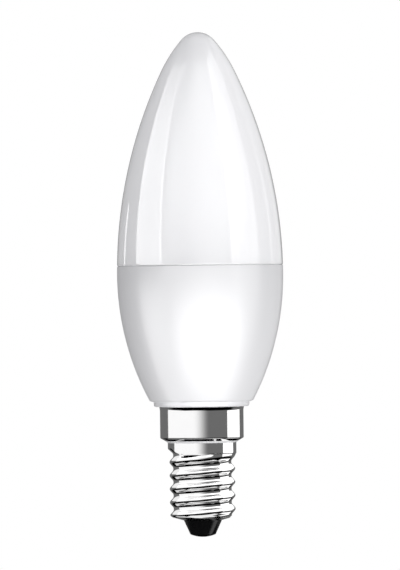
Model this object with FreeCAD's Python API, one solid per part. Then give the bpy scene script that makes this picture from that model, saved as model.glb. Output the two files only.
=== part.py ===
# LED candle lamp with a small Edison screw cap, standing upright on its axis, cap down.
# Lengths are in millimetres. The lamp's axis is Z, and the origin is the tip of the centre contact.
# A corner is (radius, height, rounding) in the half plane through the axis.

import FreeCAD, Part
import math
import os

# Whole lamp
lamp_height = 106.0
belly_radius = 17.45
belly_height = 55.2

# Diffuser: three tangent arcs from the tip down to the belly
tip_radius = 4.47
upper_arc_radius = 30.0
upper_arc_extra_angle = 3.0
seam_height = 57.25
seam_round = 0.45
spigot_radius = 15.0
spigot_depth = 3.0

# Housing: a bowl of one arc, a stepped collar and a plug that fills the cap
bowl_arc_radius = 57.0
bowl_foot_height = 28.6
collar_radius = 10.0
collar_top_height = 28.3
collar_foot_height = 27.2
collar_round = 0.35

# Cap shell: sheet metal with a flared lip, a skirt, a shoulder, a neck and a turned-in rim
shell_wall = 0.3
lip_flare = 0.15
lip_height = 0.5
lip_round = 1.0
skirt_radius = 8.77
skirt_foot_height = 20.9
neck_radius = 7.2
neck_top_height = 19.66
neck_foot_height = 17.3
neck_foot_chamfer = 0.15
fold_round = 0.5
foot_round = 0.8
foot_height = 4.35
rim_radius = 4.0
rim_height = 3.5

# Rolled right-hand thread of the cap: flat roots and crests between straight flanks
thread_major_radius = 6.945
thread_minor_radius = 6.145
thread_pitch = 2.822
thread_root_width = 0.8
thread_crest_width = 0.3
thread_turns = 5
thread_last_root_height = 15.73
thread_inside_rise = 0.2
groove_overrun = 0.1
groove_reach = 0.6

# Insulator and contact in the foot of the shell
insulator_top_height = 6.0
insulator_tip_radius = 2.75
contact_dome_radius = 2.7
contact_dome_height = 0.65
shank_radius = 1.0
shank_length = 2.2

# Clearances
spigot_clearance = 0.15
spigot_end_clearance = 0.5
plug_clearance = 0.1
plug_end_clearance = 0.5

# A turned surface meets itself along one line, which lies at the lamp's back
closing_line_angle = 90

AXIS = FreeCAD.Vector(0, 0, 1)
ORIGIN = FreeCAD.Vector(0, 0, 0)


def at(radius, height):
    """The point of the half plane at this radius and height."""
    return FreeCAD.Vector(radius, 0, height)


def rounded_path(corners):
    """Edges through the corners, with a tangent arc at each corner that has a rounding."""
    edges = []
    start = at(*corners[0][:2])
    for before, corner, after in zip(corners, corners[1:], corners[2:]):
        point = at(*corner[:2])
        rounding = corner[2]
        if rounding > 0:
            back = (at(*before[:2]) - point).normalize()
            on = (at(*after[:2]) - point).normalize()
            half_angle = back.getAngle(on) / 2
            reach = rounding / math.tan(half_angle)
            middle = point + (back + on).normalize() * (rounding / math.sin(half_angle) - rounding)
            edges.append(Part.makeLine(start, point + back * reach))
            edges.append(Part.Arc(point + back * reach, middle, point + on * reach).toShape())
            start = point + on * reach
        else:
            edges.append(Part.makeLine(start, point))
            start = point
    edges.append(Part.makeLine(start, at(*corners[-1][:2])))
    return edges


def inward(corners, distance):
    """A path that runs downwards, shifted towards the axis, with its roundings grown or shrunk to match.

    The first corner keeps its height and the last one its radius.
    """
    directions = []
    for one, two in zip(corners, corners[1:]):
        directions.append((at(*two[:2]) - at(*one[:2])).normalize())
    shifted = []
    for i, (radius, height, rounding) in enumerate(corners):
        came = directions[max(i - 1, 0)]
        goes = directions[min(i, len(directions) - 1)]
        side = at(came.z, -came.x)
        bisector = (side + at(goes.z, -goes.x)).normalize()
        moved = at(radius, height) + bisector * (distance / bisector.dot(side))
        turn = came.x * goes.z - came.z * goes.x
        grown = rounding + math.copysign(distance, turn) if rounding > 0 else 0
        shifted.append((moved.x, moved.z, max(grown, 0)))
    first = directions[0]
    last = directions[-1]
    down = (corners[0][1] - shifted[0][1]) / first.z
    shifted[0] = (shifted[0][0] + first.x * down, corners[0][1], 0)
    across = (corners[-1][0] - shifted[-1][0]) / last.x
    shifted[-1] = (corners[-1][0], shifted[-1][1] + last.z * across, 0)
    return shifted


def turned(edges):
    """The solid that a closed outline sweeps in a full turn about the axis."""
    solid = Part.Face(Part.Wire(edges)).revolve(ORIGIN, AXIS, 360)
    solid.rotate(ORIGIN, AXIS, closing_line_angle)
    return solid


def arc(centre, radius, start_angle, end_angle):
    """An arc in the half plane, between two angles above the horizontal."""
    points = []
    for angle in (start_angle, (start_angle + end_angle) / 2, end_angle):
        points.append(centre + at(math.cos(angle), math.sin(angle)) * radius)
    return Part.Arc(*points).toShape()


def dome_arcs():
    """The three arcs of the dome's outside, from the seam up to the tip.

    The upper arc ends at a little more than the angle that a single arc from belly to tip would reach.
    """
    dome_height = lamp_height - belly_height
    single_arc_angle = 2 * math.atan(belly_radius / dome_height)
    end_angle = single_arc_angle + math.radians(upper_arc_extra_angle)
    tip_centre = at(0, lamp_height - tip_radius)
    apart = upper_arc_radius - tip_radius
    upper_centre = tip_centre - at(math.cos(end_angle), math.sin(end_angle)) * apart
    across = upper_centre.x - belly_radius
    up = upper_centre.z - belly_height
    flank_radius = (upper_arc_radius ** 2 - across ** 2 - up ** 2) / (2 * (across + upper_arc_radius))
    flank_centre = at(belly_radius - flank_radius, belly_height)
    joint_angle = math.atan2(up, upper_centre.x - flank_centre.x)
    seam_angle = math.asin((seam_height - belly_height) / flank_radius)
    return [
        arc(flank_centre, flank_radius, seam_angle, joint_angle),
        arc(upper_centre, upper_arc_radius, joint_angle, end_angle),
        arc(tip_centre, tip_radius, end_angle, math.pi / 2),
    ]


def diffuser():
    """Opal dome, seated on the housing's rim and located by its spigot."""
    outside = dome_arcs()
    seam_radius = outside[0].Vertexes[0].X
    spigot_foot = seam_height - spigot_depth
    inside = rounded_path([
        (0, lamp_height, 0),
        (0, spigot_foot, 0),
        (spigot_radius, spigot_foot, 0),
        (spigot_radius, seam_height, 0),
        (seam_radius, seam_height, 0),
    ])
    dome = turned(outside + inside)
    circles = [edge for edge in dome.Edges if edge.isClosed()]
    seam_edge = max(circles, key=lambda circle: circle.BoundBox.XMax)
    return dome.makeFillet(seam_round, [seam_edge])


def bowl_arc():
    """The arc of the housing's bowl, from its rim at the seam down to its foot."""
    centre = at(belly_radius - bowl_arc_radius, belly_height)
    rim_angle = math.asin((seam_height - belly_height) / bowl_arc_radius)
    bowl_foot_angle = math.asin((bowl_foot_height - belly_height) / bowl_arc_radius)
    return arc(centre, bowl_arc_radius, rim_angle, bowl_foot_angle)


def housing():
    """White bowl with a recess for the dome's spigot, a stepped collar and the plug in the cap."""
    bowl = bowl_arc()
    bowl_foot = bowl.valueAt(bowl.LastParameter)
    rim = bowl.valueAt(bowl.FirstParameter)
    plug = inward(root_path(), shell_wall + plug_clearance)[:-2]
    plug_foot = insulator_top_height + plug_end_clearance
    recess_radius = spigot_radius + spigot_clearance
    recess_floor = seam_height - spigot_depth - spigot_end_clearance
    rest = rounded_path([
        (bowl_foot.x, bowl_foot.z, 0),
        (collar_radius, collar_top_height, 0),
        (collar_radius, collar_foot_height, collar_round),
        *plug,
        (plug[-1][0], plug_foot, 0),
        (0, plug_foot, 0),
        (0, recess_floor, 0),
        (recess_radius, recess_floor, 0),
        (recess_radius, seam_height, 0),
        (rim.x, rim.z, 0),
    ])
    return turned([bowl] + rest)


def cap_path(thread_radius, thread_top_height, neck_start_height):
    """The cap shell's outside from lip to rim, with its threaded length at one radius."""
    foot_slope = (foot_height - rim_height) / (thread_major_radius - rim_radius)
    foot_corner_height = rim_height + foot_slope * (thread_radius - rim_radius)
    return [
        (skirt_radius + lip_flare, collar_foot_height, 0),
        (skirt_radius, collar_foot_height - lip_height, lip_round),
        (skirt_radius, skirt_foot_height, fold_round),
        (neck_radius, neck_top_height, fold_round),
        (neck_radius, neck_start_height, 0),
        (thread_radius, thread_top_height, 0),
        (thread_radius, foot_corner_height, foot_round),
        (rim_radius, rim_height, 0),
    ]


def flank_rise(inner_radius, outer_radius):
    """Height that a thread flank gains between two radii."""
    flank_width = (thread_pitch - thread_root_width - thread_crest_width) / 2
    depth = thread_major_radius - thread_minor_radius
    return (outer_radius - inner_radius) * flank_width / depth


def root_path():
    """The cap's outside with its threaded length at the root, which the shell's inside follows."""
    last_groove_top = thread_last_root_height + (thread_pitch + thread_root_width) / 2
    top = last_groove_top + thread_inside_rise
    return cap_path(thread_minor_radius, top, top + flank_rise(thread_minor_radius, neck_radius))


def groove_section(upper_flank_radius, shift):
    """The thread groove's section about its root's middle, with its upper flank up to a radius."""
    half_root = thread_root_width / 2
    lower_flank_radius = thread_major_radius + groove_overrun
    outer_radius = neck_radius + groove_reach
    upper_edge = half_root + flank_rise(thread_minor_radius, upper_flank_radius)
    lower_edge = -half_root - flank_rise(thread_minor_radius, lower_flank_radius)
    points = [
        at(thread_minor_radius + shift, -half_root),
        at(thread_minor_radius + shift, half_root),
        at(upper_flank_radius + shift, upper_edge),
        at(outer_radius + shift, upper_edge),
        at(outer_radius + shift, lower_edge),
        at(lower_flank_radius + shift, lower_edge),
    ]
    return Part.makePolygon(points + points[:1])


def groove(sections, half_turn):
    """Half a turn of the thread's groove, counted in half turns from the middle of its last full root."""
    helix = Part.makeHelix(thread_pitch, thread_pitch / 2, thread_minor_radius)
    tool = Part.Wire(helix.Edges).makePipeShell(sections, True, True)
    tool.rotate(ORIGIN, AXIS, 180 * (half_turn % 2))
    tool.translate(at(0, thread_last_root_height + thread_pitch / 2 * half_turn))
    return tool


def screw_shell():
    """Cap shell: the folded sheet, then the thread's groove, which fades out in the neck."""
    outside = cap_path(thread_major_radius, neck_foot_height, neck_foot_height + neck_foot_chamfer)
    inside = inward(root_path(), shell_wall)
    shell = turned(rounded_path(outside + inside[::-1] + outside[:1]))

    thread_section = groove_section(thread_major_radius + groove_overrun, 0)
    for half_turn in range(-2 * thread_turns, 0):
        shell = shell.cut(groove([thread_section], half_turn))

    neck_flank_radius = neck_radius + groove_overrun
    neck_section = groove_section(neck_flank_radius, 0)
    shell = shell.cut(groove([neck_section], 0))

    faded_section = groove_section(neck_flank_radius, neck_flank_radius - thread_minor_radius)
    faded_section.rotate(ORIGIN, AXIS, 180)
    faded_section.translate(at(0, thread_pitch / 2))
    shell = shell.cut(groove([neck_section, faded_section], 1))
    return shell.Solids[0]


def insulator():
    """Black moulding that fills the shell's foot and carries the contact."""
    shell_inside = inward(root_path(), shell_wall)
    bore_radius = shell_inside[-2][0]
    outline = [
        (0, insulator_top_height, 0),
        (bore_radius, insulator_top_height, 0),
        *shell_inside[-2:],
        (rim_radius, rim_height, 0),
        (insulator_tip_radius, contact_dome_height, 0),
        (shank_radius, contact_dome_height, 0),
        (shank_radius, contact_dome_height + shank_length, 0),
        (0, contact_dome_height + shank_length, 0),
        (0, insulator_top_height, 0),
    ]
    return turned(rounded_path(outline))


def centre_contact():
    """Domed contact whose shank sits in the insulator."""
    dome_radius = (contact_dome_radius ** 2 + contact_dome_height ** 2) / (2 * contact_dome_height)
    edge_angle = -math.acos(contact_dome_radius / dome_radius)
    dome = arc(at(0, dome_radius), dome_radius, -math.pi / 2, edge_angle)
    rest = rounded_path([
        (contact_dome_radius, contact_dome_height, 0),
        (shank_radius, contact_dome_height, 0),
        (shank_radius, contact_dome_height + shank_length, 0),
        (0, contact_dome_height + shank_length, 0),
        (0, 0, 0),
    ])
    return turned([dome] + rest)


pieces = {
    "diffuser": diffuser,
    "housing": housing,
    "screw_shell": screw_shell,
    "insulator": insulator,
    "centre_contact": centre_contact,
}

os.makedirs("parts", exist_ok=True)
for name, make in pieces.items():
    make().exportStep("parts/" + name + ".step")
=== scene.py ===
import math

import bmesh
import bpy
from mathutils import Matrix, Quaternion, Vector


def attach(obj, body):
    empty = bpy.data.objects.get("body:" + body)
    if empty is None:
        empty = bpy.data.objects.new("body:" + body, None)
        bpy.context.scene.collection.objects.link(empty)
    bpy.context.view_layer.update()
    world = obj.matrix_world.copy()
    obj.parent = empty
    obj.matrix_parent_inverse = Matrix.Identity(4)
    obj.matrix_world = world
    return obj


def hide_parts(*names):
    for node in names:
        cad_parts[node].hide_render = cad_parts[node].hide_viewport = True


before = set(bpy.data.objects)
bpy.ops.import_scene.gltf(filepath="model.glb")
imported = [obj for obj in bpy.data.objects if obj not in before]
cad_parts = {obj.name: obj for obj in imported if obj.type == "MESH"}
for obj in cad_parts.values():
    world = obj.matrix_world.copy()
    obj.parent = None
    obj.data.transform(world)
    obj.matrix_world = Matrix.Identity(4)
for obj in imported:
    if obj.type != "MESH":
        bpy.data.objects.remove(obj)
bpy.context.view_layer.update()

scene = bpy.context.scene
MM = 0.001


# The photographer's view
# A long lens level with the lamp's middle, turned a little so that the lamp leans to the left.
# The background is pure white and holds no floor line, so the floor lies well below the lamp.

view_height = 52.9 * MM
view_aside = -0.05 * MM
view_distance = 1.5
picture_rows = 570
picture_rows_a_mm = 4.76
view_span = picture_rows / picture_rows_a_mm * MM
view_roll = math.radians(0.66)
sensor_height = 24

camera_data = bpy.data.cameras.new("view")
camera_data.sensor_fit = "VERTICAL"
camera_data.sensor_height = sensor_height
camera_data.lens = sensor_height * view_distance / view_span
camera_data.clip_start = 0.1
camera_data.clip_end = 50
camera = bpy.data.objects.new("view", camera_data)
camera.location = (view_aside, -view_distance, view_height)
camera.rotation_euler = (math.pi / 2, view_roll, 0)
scene.collection.objects.link(camera)
scene.camera = camera
scene.view_settings.view_transform = "Standard"

floor_drop = 0.3
floor_radius = 3.0
floor_sides = 96


def link_mesh(name, bm, material, crease=40):
    """Makes the finished bmesh an object, smooth but for edges sharper than the crease angle."""
    mesh = bpy.data.meshes.new(name)
    for face in bm.faces:
        face.smooth = True
    bm.to_mesh(mesh)
    bm.free()
    mesh.set_sharp_from_angle(angle=math.radians(crease))
    mesh.materials.append(material)
    piece = bpy.data.objects.new(name, mesh)
    scene.collection.objects.link(piece)
    return piece


def plain_material(name, finish):
    """A new node material, whose shader is given the values of its finish."""
    material = bpy.data.materials.new(name)
    material.use_nodes = True
    shader = material.node_tree.nodes["Principled BSDF"]
    for quality, value in finish.items():
        shader.inputs[quality].default_value = value
    return material


def drive(material, quality, source):
    """Lets another node's output set one quality of the material."""
    tree = material.node_tree
    tree.links.new(source, tree.nodes["Principled BSDF"].inputs[quality])


def noise_over(material, scale, detail, drawn_out=1):
    """Noise over the piece in its own coordinates, that can be drawn out round the lamp."""
    tree = material.node_tree
    place = tree.nodes.new("ShaderNodeTexCoord")
    stretch = tree.nodes.new("ShaderNodeMapping")
    stretch.inputs["Scale"].default_value = (1, 1, drawn_out)
    noise = tree.nodes.new("ShaderNodeTexNoise")
    noise.inputs["Scale"].default_value = scale
    noise.inputs["Detail"].default_value = detail
    tree.links.new(place.outputs["Object"], stretch.inputs["Vector"])
    tree.links.new(stretch.outputs["Vector"], noise.inputs["Vector"])
    return noise.outputs["Fac"]


def colour_by(material, noise, dark, pale):
    """Mixes the colour from a dark and a pale one by the noise.

    The colours of a mix node are its inputs 6 and 7 and its output 2.
    """
    tint = material.node_tree.nodes.new("ShaderNodeMix")
    tint.data_type = "RGBA"
    tint.inputs[6].default_value = (*dark, 1)
    tint.inputs[7].default_value = (*pale, 1)
    material.node_tree.links.new(noise, tint.inputs[0])
    drive(material, "Base Color", tint.outputs[2])


floor_paint = plain_material("pale_floor", {"Roughness": 0.6})
mottle = noise_over(floor_paint, scale=4, detail=2)
colour_by(floor_paint, mottle, dark=(0.86, 0.86, 0.86), pale=(0.9, 0.9, 0.9))

bm = bmesh.new()
bmesh.ops.create_circle(bm, cap_ends=True, radius=floor_radius, segments=floor_sides)
bmesh.ops.translate(bm, verts=bm.verts, vec=(0, 0, -floor_drop))
floor = link_mesh("floor", bm, floor_paint)
floor.visible_glossy = False


# Diffuser
# A blow-moulded opal plastic dome, glossy outside, that lets the light of the lamp through evenly.
# It is glued with a spigot into the housing, and its rounded foot leaves a fine dark seam.

lamp_height = 106.0
belly_radius = 17.45
belly_height = 55.2
tip_radius = 4.47
upper_arc_radius = 30.0
upper_arc_angle = math.radians(40.92)
seam_height = 57.0
seam_round = 0.36
seam_chord_angle = 0.01
spigot_radius = 15.0
spigot_depth = 3.0
flank_steps = 60
upper_arc_steps = 40
tip_steps = 24
turn_steps = 160
weld_distance = 0.001 * MM


def on_arc(centre, radius, angle):
    """The point of an arc in the half plane, at an angle above the level."""
    return centre[0] + radius * math.cos(angle), centre[1] + radius * math.sin(angle)


def start_outline(radius, height):
    """A bmesh in the half plane through the axis, with its first vertex."""
    bm = bmesh.new()
    return bm, bm.verts.new((radius * MM, 0, height * MM))


def line_on(bm, last, radius, height):
    """Draws the outline on to a new vertex."""
    vertex = bm.verts.new((radius * MM, 0, height * MM))
    bm.edges.new((last, vertex))
    return vertex


def arc_on(bm, last, centre, angle, steps):
    """Draws the outline on round a centre, upwards for a positive angle."""
    swept = bmesh.ops.spin(
        bm,
        geom=[last],
        cent=(centre[0] * MM, 0, centre[1] * MM),
        axis=(0, -1, 0),
        angle=angle,
        steps=steps,
    )
    return [item for item in swept["geom_last"] if isinstance(item, bmesh.types.BMVert)][0]


def round_corner(bm, corner, distance, segments):
    """Rounds one corner of the outline from a distance before it to the same distance after it."""
    bmesh.ops.bevel(
        bm,
        geom=[corner],
        offset=distance * MM,
        offset_type="OFFSET",
        affect="VERTICES",
        segments=segments,
        profile=0.5,
        material=-1,
    )


def turn(bm, steps):
    """Spins the outline once about the lamp's axis and closes the skin with its normals outwards."""
    bmesh.ops.spin(
        bm,
        geom=bm.verts[:] + bm.edges[:],
        cent=(0, 0, 0),
        axis=(0, 0, 1),
        angle=2 * math.pi,
        steps=steps,
        use_merge=True,
    )
    bmesh.ops.remove_doubles(bm, verts=bm.verts, dist=weld_distance)
    bmesh.ops.recalc_face_normals(bm, faces=bm.faces)


tip_centre = (0, lamp_height - tip_radius)
upper_centre = on_arc(tip_centre, tip_radius - upper_arc_radius, upper_arc_angle)
across = upper_centre[0] - belly_radius
up = upper_centre[1] - belly_height
flank_radius = (upper_arc_radius ** 2 - across ** 2 - up ** 2) / (2 * (across + upper_arc_radius))
flank_centre = (belly_radius - flank_radius, belly_height)
flank_end = math.atan2(up, upper_centre[0] - flank_centre[0])
seam_angle = math.asin((seam_height - belly_height) / flank_radius)
seam_edge_radius = on_arc(flank_centre, flank_radius, seam_angle)[0]
above_seam = on_arc(flank_centre, flank_radius, seam_angle + seam_chord_angle)

bm, vertex = start_outline(0, seam_height - spigot_depth)
vertex = line_on(bm, vertex, spigot_radius, seam_height - spigot_depth)
vertex = line_on(bm, vertex, spigot_radius, seam_height)
foot_corner = line_on(bm, vertex, seam_edge_radius, seam_height)
vertex = line_on(bm, foot_corner, *above_seam)
vertex = arc_on(bm, vertex, flank_centre, flank_end - seam_angle - seam_chord_angle, flank_steps)
vertex = arc_on(bm, vertex, upper_centre, upper_arc_angle - flank_end, upper_arc_steps)
arc_on(bm, vertex, tip_centre, math.pi / 2 - upper_arc_angle, tip_steps)
round_corner(bm, foot_corner, seam_round, segments=8)
turn(bm, turn_steps)


def uneven_by(material, noise, strength, depth):
    """Makes the surface uneven by the noise."""
    bump = material.node_tree.nodes.new("ShaderNodeBump")
    bump.inputs["Strength"].default_value = strength
    bump.inputs["Distance"].default_value = depth
    material.node_tree.links.new(noise, bump.inputs["Height"])
    drive(material, "Normal", bump.outputs["Normal"])


opal = plain_material("opal_dome", {
    "Roughness": 0.07,
    "IOR": 1.5,
    "Subsurface Weight": 0.35,
    "Subsurface Radius": (1.0, 1.0, 1.0),
    "Subsurface Scale": 2.5 * MM,
})
cloud = noise_over(opal, scale=120, detail=3)
ripple = noise_over(opal, scale=220, detail=1)
colour_by(opal, cloud, dark=(0.885, 0.885, 0.9), pale=(0.905, 0.905, 0.915))
uneven_by(opal, ripple, strength=0.05, depth=0.05 * MM)

dome = link_mesh("opal_dome", bm, opal)
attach(dome, "root")
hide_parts("diffuser")


# Housing
# An injection-moulded bowl of satin white plastic over the driver, with two small steps at its foot.
# Its rim takes the dome's spigot, and its plug fills the cap, which is punched onto it.

bowl_arc_radius = 57.0
bowl_foot_height = 28.6
bowl_foot_round = 0.12
bowl_steps = 72
rim_round = 0.12
rim_chord_angle = 0.006
collar_radius = 10.0
collar_draft = 0.06
collar_top_height = 28.4
collar_foot_height = 27.4
collar_round = 0.35
spigot_clearance = 0.15
spigot_end_clearance = 0.5
recess_radius = spigot_radius + spigot_clearance
recess_floor_height = seam_height - spigot_depth - spigot_end_clearance
plug_radius = 8.37
plug_shoulder_height = 20.72
plug_neck_radius = 6.8
plug_neck_top_height = 19.48
plug_neck_foot_height = 19.0
plug_end_radius = 5.745
plug_end_top_height = 17.8
plug_end_height = 6.5


def lines_on(bm, last, corners):
    """Draws the outline on through several corners."""
    for radius, height in corners:
        last = line_on(bm, last, radius, height)
    return last


bowl_centre = (belly_radius - bowl_arc_radius, belly_height)
rim_angle = math.asin((seam_height - belly_height) / bowl_arc_radius)
bowl_foot_angle = math.asin((bowl_foot_height - belly_height) / bowl_arc_radius)
bowl_angle = bowl_foot_angle - rim_angle + rim_chord_angle
rim_radius = on_arc(bowl_centre, bowl_arc_radius, rim_angle)[0]
below_rim = on_arc(bowl_centre, bowl_arc_radius, rim_angle - rim_chord_angle)

bm, vertex = start_outline(0, recess_floor_height)
vertex = line_on(bm, vertex, recess_radius, recess_floor_height)
vertex = line_on(bm, vertex, recess_radius, seam_height)
rim_corner = line_on(bm, vertex, rim_radius, seam_height)
vertex = line_on(bm, rim_corner, *below_rim)
bowl_foot = arc_on(bm, vertex, bowl_centre, bowl_angle, bowl_steps)
vertex = line_on(bm, bowl_foot, collar_radius + collar_draft, collar_top_height)
collar_foot = line_on(bm, vertex, collar_radius, collar_foot_height)
lines_on(bm, collar_foot, [
    (plug_radius, collar_foot_height),
    (plug_radius, plug_shoulder_height),
    (plug_neck_radius, plug_neck_top_height),
    (plug_neck_radius, plug_neck_foot_height),
    (plug_end_radius, plug_end_top_height),
    (plug_end_radius, plug_end_height),
    (0, plug_end_height),
])
round_corner(bm, rim_corner, rim_round, segments=4)
round_corner(bm, bowl_foot, bowl_foot_round, segments=3)
round_corner(bm, collar_foot, collar_round, segments=6)
turn(bm, turn_steps)


def ramp(tree, value, start, end, low, high, curve="LINEAR"):
    """An output that goes from low to high while the value goes from start to end."""
    node = tree.nodes.new("ShaderNodeMapRange")
    node.interpolation_type = curve
    node.inputs["From Min"].default_value = start
    node.inputs["From Max"].default_value = end
    node.inputs["To Min"].default_value = low
    node.inputs["To Max"].default_value = high
    tree.links.new(value, node.inputs["Value"])
    return node.outputs["Result"]


def roughness_by(material, noise, low, high):
    """Varies the roughness between two values by the noise."""
    drive(material, "Roughness", ramp(material.node_tree, noise, 0, 1, low, high))


satin = plain_material("satin_housing", {"IOR": 1.48})
cloud = noise_over(satin, scale=60, detail=3)
grain = noise_over(satin, scale=5000, detail=2)
colour_by(satin, cloud, dark=(0.805, 0.805, 0.816), pale=(0.82, 0.82, 0.83))
roughness_by(satin, cloud, low=0.27, high=0.29)
uneven_by(satin, grain, strength=0.12, depth=0.02 * MM)

bowl = link_mesh("satin_housing", bm, satin)
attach(bowl, "root")
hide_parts("housing")


# Screw cap shell
# Thin brass sheet, drawn to a cup, nickel plated and rolled to a right-hand thread of five turns.
# Its lip flares against the housing's collar, and its foot is turned in round the insulator.

shell_wall = 0.3
skirt_radius = 8.77
lip_flare = 0.15
lip_height = 0.5
lip_round = 0.06
lip_root_round = 0.42
skirt_foot_height = 20.8
shoulder_round = 0.18
neck_radius = 7.2
neck_top_height = 19.92
neck_top_round = 0.14
neck_foot_height = 17.3
neck_foot_rise = 0.15
ledge_height = 17.5
ledge_softness = 0.1
ledge_end_turns = 0.64
blank_radius = 7.08
blank_softness = 0.1
thread_minor_radius = 6.1
thread_pitch = 2.822
root_half_width = 0.4
root_softness = 0.3
flank_slope = 1.1
crest_softness = 0.7
last_root_height = 15.73
passes_above = 1
passes_below = 5
runout_start_turns = 0.5
runout_end_turns = 1.0
open_turns = -4.0
closed_turns = -3.7
open_slope = 1.2
foot_corner_height = 4.35
foot_round = 0.9
foot_cone_share = 0.68
turned_rim_radius = 4.0
turned_rim_height = 3.5
bore_radius = thread_minor_radius - shell_wall
bore_top_height = 17.8
bore_foot_rise = 0.05
inner_neck_foot_height = 19.0
inner_fold_drop = 0.14
outside_margin = 0.1
shell_steps = 180
rows_a_pitch = 36
foot_steps = 14


def soft_positive(value, softness):
    """The value where it is positive and nothing below, with a parabola between the two."""
    if value <= -softness:
        return 0
    if value >= softness:
        return value
    return (value + softness) ** 2 / (4 * softness)


def soft_minimum(one, two, softness):
    """The smaller of two radii, rounded where they cross."""
    return one - soft_positive(one - two, softness)


def smooth_step(value, start, end):
    """Nothing before the start and one after the end, with an even rise between them."""
    share = min(max((value - start) / (end - start), 0), 1)
    return share * share * (3 - 2 * share)


def groove_radius(angle, height, turns_below):
    """Radius of the rolled groove, for its pass of this angle some turns below the last one.

    From the lamp's left side on, the groove runs out under the neck, which ends in a level ledge.
    At the foot the groove has no lower flank yet and slopes in, so the shell's corner is rolled away.
    """
    turns = angle / (2 * math.pi) - turns_below
    above_root = height - last_root_height - thread_pitch * turns
    rise = flank_slope * soft_positive(abs(above_root) - root_half_width, root_softness)
    if above_root < 0:
        closed = smooth_step(turns, open_turns, closed_turns)
        rise = closed * rise + (1 - closed) * open_slope * above_root
    depth = blank_radius - thread_minor_radius - rise
    groove = blank_radius - depth * (1 - smooth_step(turns, runout_start_turns, runout_end_turns))
    levelled = smooth_step(turns, runout_start_turns, ledge_end_turns)
    top = ledge_height + (1 - levelled) * (neck_top_height - ledge_height)
    covered = smooth_step(height, top, top + ledge_softness)
    return groove + covered * max(0, neck_radius + 2 * crest_softness - groove)


def rolled_radius(angle, height):
    """Radius of all the groove's passes together, which meet in rounded crests."""
    rolled = groove_radius(angle, height, -passes_above)
    for turns_below in range(1 - passes_above, passes_below + 1):
        rolled = soft_minimum(rolled, groove_radius(angle, height, turns_below), crest_softness)
    return rolled


bm, rim_vertex = start_outline(turned_rim_radius, turned_rim_height)
vertex = rim_vertex
for step in range(1, foot_steps + 1):
    share = foot_cone_share * step / foot_steps
    radius = turned_rim_radius + share * (blank_radius - turned_rim_radius)
    height = turned_rim_height + share * (foot_corner_height - turned_rim_height)
    vertex = line_on(bm, vertex, radius, height)
foot = line_on(bm, vertex, blank_radius, foot_corner_height)
vertex = line_on(bm, foot, blank_radius, neck_foot_height)
vertex = line_on(bm, vertex, neck_radius, neck_foot_height + neck_foot_rise)
neck_top = line_on(bm, vertex, neck_radius, neck_top_height)
shoulder = line_on(bm, neck_top, skirt_radius, skirt_foot_height)
lip_root = line_on(bm, shoulder, skirt_radius, collar_foot_height - lip_height)
lip = line_on(bm, lip_root, skirt_radius + lip_flare, collar_foot_height)
vertex = lines_on(bm, lip, [
    (skirt_radius + lip_flare - shell_wall, collar_foot_height),
    (skirt_radius - shell_wall, collar_foot_height - lip_height),
    (skirt_radius - shell_wall, skirt_foot_height - inner_fold_drop),
    (neck_radius - shell_wall, neck_top_height - inner_fold_drop),
    (neck_radius - shell_wall, inner_neck_foot_height),
    (bore_radius, bore_top_height),
    (bore_radius, foot_corner_height + bore_foot_rise),
    (turned_rim_radius, turned_rim_height + shell_wall),
])
bm.edges.new((vertex, rim_vertex))
round_corner(bm, lip, lip_round, segments=3)
round_corner(bm, lip_root, lip_root_round, segments=8)
round_corner(bm, shoulder, shoulder_round, segments=8)
round_corner(bm, neck_top, neck_top_round, segments=6)
round_corner(bm, foot, foot_round, segments=10)


def outside_edges(bm, low, high):
    """The outline's edges outside the bore between two heights."""
    found = []
    for edge in bm.edges:
        ends = [(vert.co.x / MM, vert.co.z / MM) for vert in edge.verts]
        outside = min(x for x, z in ends) > bore_radius + outside_margin
        if outside and all(low <= z <= high for x, z in ends):
            found.append(edge)
    return found


for edge in outside_edges(bm, foot_corner_height, neck_top_height):
    length = (edge.verts[0].co - edge.verts[1].co).length / MM
    if length > thread_pitch / rows_a_pitch:
        bmesh.ops.subdivide_edges(bm, edges=[edge], cuts=int(length * rows_a_pitch / thread_pitch))
turn(bm, shell_steps)

for vert in bm.verts:
    radius = math.hypot(vert.co.x, vert.co.y)
    height = vert.co.z / MM
    outside = radius / MM > bore_radius + outside_margin
    if outside and turned_rim_height < height < neck_top_height:
        angle = math.atan2(vert.co.y, vert.co.x) % (2 * math.pi)
        rolled = soft_minimum(radius / MM, rolled_radius(angle, height), blank_softness)
        vert.co.x *= rolled * MM / radius
        vert.co.y *= rolled * MM / radius
bmesh.ops.recalc_face_normals(bm, faces=bm.faces)

nickel = plain_material("nickel_plate", {"Metallic": 1.0})
cloud = noise_over(nickel, scale=350, detail=5)
marks = noise_over(nickel, scale=300, detail=3, drawn_out=12)
colour_by(nickel, cloud, dark=(0.86, 0.855, 0.855), pale=(0.9, 0.9, 0.9))
roughness_by(nickel, marks, low=0.05, high=0.1)
uneven_by(nickel, marks, strength=0.02, depth=0.01 * MM)

cap = link_mesh("screw_cap_shell", bm, nickel, crease=60)
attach(cap, "root")
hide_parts("screw_shell")


# Insulator
# A glossy black moulding, pressed into the foot of the shell and narrowing to the contact.
# It keeps the centre contact apart from the shell.

insulator_top_height = 6.0
insulator_corner_rise = 0.02
insulator_tip_radius = 2.65
insulator_tip_round = 0.12
contact_height = 0.52
shank_radius = 1.0
shank_top_height = 2.85

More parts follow.
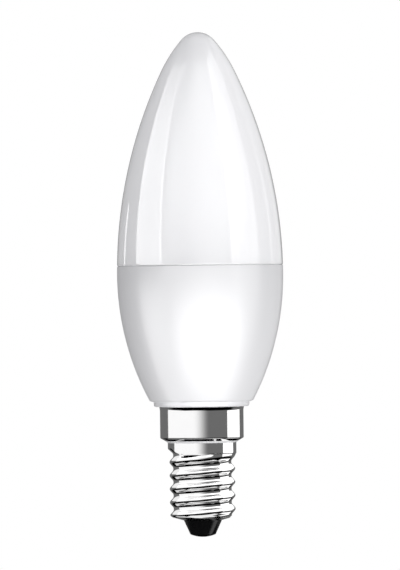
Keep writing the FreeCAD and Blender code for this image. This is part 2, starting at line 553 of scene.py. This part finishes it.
bm, vertex = start_outline(0, insulator_top_height)
vertex = lines_on(bm, vertex, [
    (bore_radius, insulator_top_height),
    (bore_radius, foot_corner_height + insulator_corner_rise),
    (turned_rim_radius, turned_rim_height + shell_wall),
    (turned_rim_radius, turned_rim_height),
])
tip_corner = line_on(bm, vertex, insulator_tip_radius, contact_height)
lines_on(bm, tip_corner, [
    (shank_radius, contact_height),
    (shank_radius, shank_top_height),
    (0, shank_top_height),
])
round_corner(bm, tip_corner, insulator_tip_round, segments=4)
turn(bm, turn_steps)

black = plain_material("black_moulding", {"Metallic": 0.0})
cloud = noise_over(black, scale=900, detail=3)
colour_by(black, cloud, dark=(0.006, 0.006, 0.007), pale=(0.014, 0.014, 0.014))
roughness_by(black, cloud, low=0.16, high=0.28)
uneven_by(black, cloud, strength=0.1, depth=0.02 * MM)

cone = link_mesh("black_insulator", bm, black)
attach(cone, "root")
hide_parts("insulator")


# Centre contact
# A small domed contact of plated metal with a shank, staked into the insulator's tip.
# The lampholder's spring presses on it and leaves it dull.

contact_radius = 2.6
contact_edge_round = 0.06
contact_steps = 16
contact_curve = (contact_radius ** 2 + contact_height ** 2) / (2 * contact_height)
contact_span = math.asin(contact_radius / contact_curve)

bm, vertex = start_outline(0, 0)
edge_corner = arc_on(bm, vertex, (0, contact_curve), contact_span, contact_steps)
lines_on(bm, edge_corner, [
    (shank_radius, contact_height),
    (shank_radius, shank_top_height),
    (0, shank_top_height),
])
round_corner(bm, edge_corner, contact_edge_round, segments=3)
turn(bm, turn_steps)

dull = plain_material("dull_contact", {"Metallic": 1.0})
cloud = noise_over(dull, scale=1200, detail=5)
colour_by(dull, cloud, dark=(0.1, 0.095, 0.09), pale=(0.22, 0.21, 0.19))
roughness_by(dull, cloud, low=0.3, high=0.5)
uneven_by(dull, cloud, strength=0.15, depth=0.02 * MM)

contact = link_mesh("centre_contact_dome", bm, dull)
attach(contact, "root")
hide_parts("centre_contact")


# Studio light
# White card and soft boxes stand round the lamp, with dark gaps between them.
# The dome, the housing, the cap and its black foot each have some of their own, as pictures
# that are lit one after another and put together would.

lamp_middle = Vector((0, 0, 53 * MM))
cap_middle = Vector((0, 0, 14 * MM))
wall_reach = 0.7
full_height = (-60, 60)
back_height = (-50, 50)
box_middle = (0.5, 0.5, 0)


def receivers(name, pieces):
    """A set of pieces that some of the lights are kept to."""
    group = bpy.data.collections.new(name)
    for piece in pieces:
        group.objects.link(piece)
    return group


def soft_box(name, location, turned, size, radiance, group, fills=False, fade=None):
    """A soft box that lights the group's pieces, or else is only seen reflected in them.

    A fade goes across the box, up it or out from its middle, and has the two shares of the
    box between which the light falls from full to none.
    """
    data = bpy.data.lights.new(name, "AREA")
    data.shape = "RECTANGLE"
    data.size, data.size_y = size
    data.energy = radiance * math.pi * size[0] * size[1]
    if fade:
        way, full, none = fade
        data.use_nodes = True
        tree = data.node_tree
        spot = tree.nodes.new("ShaderNodeNewGeometry")
        if way == "out":
            from_middle = tree.nodes.new("ShaderNodeVectorMath")
            from_middle.operation = "DISTANCE"
            from_middle.inputs[1].default_value = box_middle
            tree.links.new(spot.outputs["Parametric"], from_middle.inputs[0])
            share = from_middle.outputs["Value"]
        else:
            shares = tree.nodes.new("ShaderNodeSeparateXYZ")
            tree.links.new(spot.outputs["Parametric"], shares.inputs[0])
            share = shares.outputs["X" if way == "across" else "Y"]
        strength = ramp(tree, share, full, none, 1, 0, "SMOOTHERSTEP")
        tree.links.new(strength, tree.nodes["Emission"].inputs["Strength"])
    light = bpy.data.objects.new(name, data)
    light.location = location
    light.rotation_euler = turned
    light.visible_camera = False
    light.visible_diffuse = fills
    light.visible_glossy = not fills
    light.light_linking.receiver_collection = group
    scene.collection.objects.link(light)


def direction(azimuth, elevation):
    """The way from the lamp to an azimuth, positive to the camera's right, and an elevation."""
    turned = math.radians(azimuth)
    raised = math.radians(elevation)
    return Vector((
        math.sin(turned) * math.cos(raised),
        -math.cos(turned) * math.cos(raised),
        math.sin(raised),
    ))


def aimed(name, azimuth, elevation, distance, size, radiance, group, fills=False, fade=None):
    """A soft box that faces the lamp's middle."""
    way = direction(azimuth, elevation)
    turned = (-way).to_track_quat("-Z", "Y").to_euler()
    soft_box(name, lamp_middle + way * distance, turned, size, radiance, group, fills, fade)


def wall(name, aim, azimuths, elevations, radiance, group, fade=None, lean=0):
    """An upright soft box between two azimuths and two elevations, whose ends are at one distance.

    A lean tips its head over towards the first of the azimuths.
    """
    start, end = azimuths
    low, high = elevations
    half = math.radians((end - start) / 2)
    distance = wall_reach * math.cos(half)
    foot = distance * math.tan(math.radians(low))
    head = distance * math.tan(math.radians(high))
    way = direction((start + end) / 2, 0)
    location = aim + way * distance + Vector((0, 0, (foot + head) / 2))
    size = (2 * distance * math.tan(half), head - foot)
    upright = (-way).to_track_quat("-Z", "Y")
    turned = (upright @ Quaternion((0, 0, 1), math.radians(lean))).to_euler()
    soft_box(name, location, turned, size, radiance, group, fade=fade)


def level_card(name, place, swing, size, radiance):
    """A level card above or below the cap, that faces it, swung about its middle."""
    turned = (math.pi if place[2] < 0 else 0, 0, math.radians(swing))
    soft_box(name, cap_middle + Vector(place), turned, size, radiance, metals)


domes = receivers("dome_only", [dome])
bowls = receivers("bowl_only", [bowl])
plastics = receivers("plastics", [dome, bowl])
metals = receivers("metals", [cap])
blacks = receivers("blacks", [cone, contact])

aimed("dome_key", azimuth=30, elevation=-2, distance=0.7, size=(0.9, 1.1),
      radiance=1.5, group=domes, fills=True)
aimed("dome_fill", azimuth=-95, elevation=5, distance=0.7, size=(0.7, 1.1),
      radiance=0.6, group=domes, fills=True)
aimed("bowl_key", azimuth=14, elevation=-26, distance=0.4, size=(0.44, 0.44),
      radiance=1.4, group=bowls, fills=True)
aimed("bowl_fill", azimuth=5, elevation=-65, distance=0.36, size=(0.44, 0.3),
      radiance=0.9, group=bowls, fills=True)
wall("dome_left", lamp_middle, azimuths=(-98, -54), elevations=full_height,
     radiance=5.6, group=domes, fade=("up", 0.6, 0.92), lean=15)
wall("dome_front", lamp_middle, azimuths=(-55, -8), elevations=full_height,
     radiance=2.8, group=domes, fade=("across", 0.0, 1.0), lean=15)
wall("bowl_left", lamp_middle, azimuths=(-94, -54), elevations=(-60, -3),
     radiance=4.8, group=bowls)
wall("bowl_front", lamp_middle, azimuths=(-54, -8), elevations=full_height,
     radiance=2.6, group=bowls, fade=("across", 0.0, 1.0))
wall("plastics_right", lamp_middle, azimuths=(44, 89), elevations=full_height,
     radiance=2.9, group=plastics)
wall("line_left", lamp_middle, azimuths=(-131, -127), elevations=(-50, 9),
     radiance=3.0, group=domes)
wall("line_right", lamp_middle, azimuths=(117, 121), elevations=back_height,
     radiance=1.3, group=plastics)
wall("back_left", lamp_middle, azimuths=(-160, -98), elevations=back_height,
     radiance=0.2, group=plastics)
wall("back_right", lamp_middle, azimuths=(89, 155), elevations=back_height,
     radiance=0.85, group=plastics)
aimed("glow_above", azimuth=10, elevation=32, distance=0.6, size=(2.6, 1.1),
      radiance=3.9, group=plastics, fade=("out", 0.05, 0.5))
aimed("glow_below", azimuth=12, elevation=-33, distance=0.6, size=(2.2, 1.1),
      radiance=9.0, group=plastics, fade=("out", 0.05, 0.5))

wall("cap_left", cap_middle, azimuths=(-107, -49), elevations=(-10, 48),
     radiance=0.93, group=metals)
wall("cap_front", cap_middle, azimuths=(-49, 28), elevations=(-10, 24),
     radiance=0.93, group=metals, fade=("across", 0.3, 0.92))
wall("cap_right", cap_middle, azimuths=(75, 128), elevations=(-6, 56),
     radiance=1.3, group=metals)
wall("cap_high_left", cap_middle, azimuths=(-180, -107), elevations=(14, 62),
     radiance=0.8, group=metals)
wall("cap_high_front_left", cap_middle, azimuths=(-49, 13), elevations=(24, 58),
     radiance=0.95, group=metals)
wall("cap_high_front_right", cap_middle, azimuths=(13, 75), elevations=(24, 58),
     radiance=1.1, group=metals)
wall("cap_high_right", cap_middle, azimuths=(128, 180), elevations=(9, 55.5),
     radiance=1.2, group=metals)
level_card("cap_table", (0.05, -0.03, -0.6), swing=0, size=(0.7, 0.3), radiance=1.0)
level_card("cap_table_left", (-0.41, 0.41, -0.6), swing=14, size=(0.3, 0.68), radiance=0.75)
level_card("cap_table_right", (0.59, 0.6, -0.6), swing=-6, size=(0.3, 1.0), radiance=1.3)
level_card("cap_sky", (0.08, -0.275, 0.6), swing=15.5, size=(1.4, 0.6), radiance=0.95)
level_card("cap_sky_left", (-0.45, 0.25, 0.6), swing=0, size=(0.7, 0.6), radiance=0.95)
wall("black_right", cap_middle, azimuths=(74, 105), elevations=(-60, 10),
     radiance=1.2, group=blacks)


# The room
# It is pure white to the camera. Its mirror image is black below and a dim grey from a little
# under the level up, and behind the lamp the grey of the paper sweep reaches lower.

dim_grey = 0.16

world = bpy.data.worlds.new("studio")
world.use_nodes = True
scene.world = world
tree = world.node_tree
tree.nodes.clear()
way = tree.nodes.new("ShaderNodeTexCoord")
parts = tree.nodes.new("ShaderNodeSeparateXYZ")
tree.links.new(way.outputs["Generated"], parts.inputs[0])
horizon = ramp(tree, parts.outputs["Z"], start=-0.2, end=-0.12, low=0, high=dim_grey)
backdrop = ramp(tree, parts.outputs["Y"], start=0, end=0.2, low=0, high=dim_grey)
sweep = ramp(tree, parts.outputs["Z"], start=-0.4, end=-0.25, low=0, high=1)
swept = tree.nodes.new("ShaderNodeMath")
swept.operation = "MULTIPLY"
tree.links.new(backdrop, swept.inputs[0])
tree.links.new(sweep, swept.inputs[1])
brighter = tree.nodes.new("ShaderNodeMath")
brighter.operation = "MAXIMUM"
tree.links.new(horizon, brighter.inputs[0])
tree.links.new(swept.outputs[0], brighter.inputs[1])

around = tree.nodes.new("ShaderNodeBackground")
around.inputs["Color"].default_value = (0.5, 0.5, 0.51, 1)
mirrored = tree.nodes.new("ShaderNodeBackground")
tree.links.new(brighter.outputs[0], mirrored.inputs["Color"])
white = tree.nodes.new("ShaderNodeBackground")
white.inputs["Color"].default_value = (1, 1, 1, 1)

rays = tree.nodes.new("ShaderNodeLightPath")
glossy_mix = tree.nodes.new("ShaderNodeMixShader")
tree.links.new(rays.outputs["Is Glossy Ray"], glossy_mix.inputs[0])
tree.links.new(around.outputs[0], glossy_mix.inputs[1])
tree.links.new(mirrored.outputs[0], glossy_mix.inputs[2])
camera_mix = tree.nodes.new("ShaderNodeMixShader")
tree.links.new(rays.outputs["Is Camera Ray"], camera_mix.inputs[0])
tree.links.new(glossy_mix.outputs[0], camera_mix.inputs[1])
tree.links.new(white.outputs[0], camera_mix.inputs[2])
output = tree.nodes.new("ShaderNodeOutputWorld")
tree.links.new(camera_mix.outputs[0], output.inputs[0])
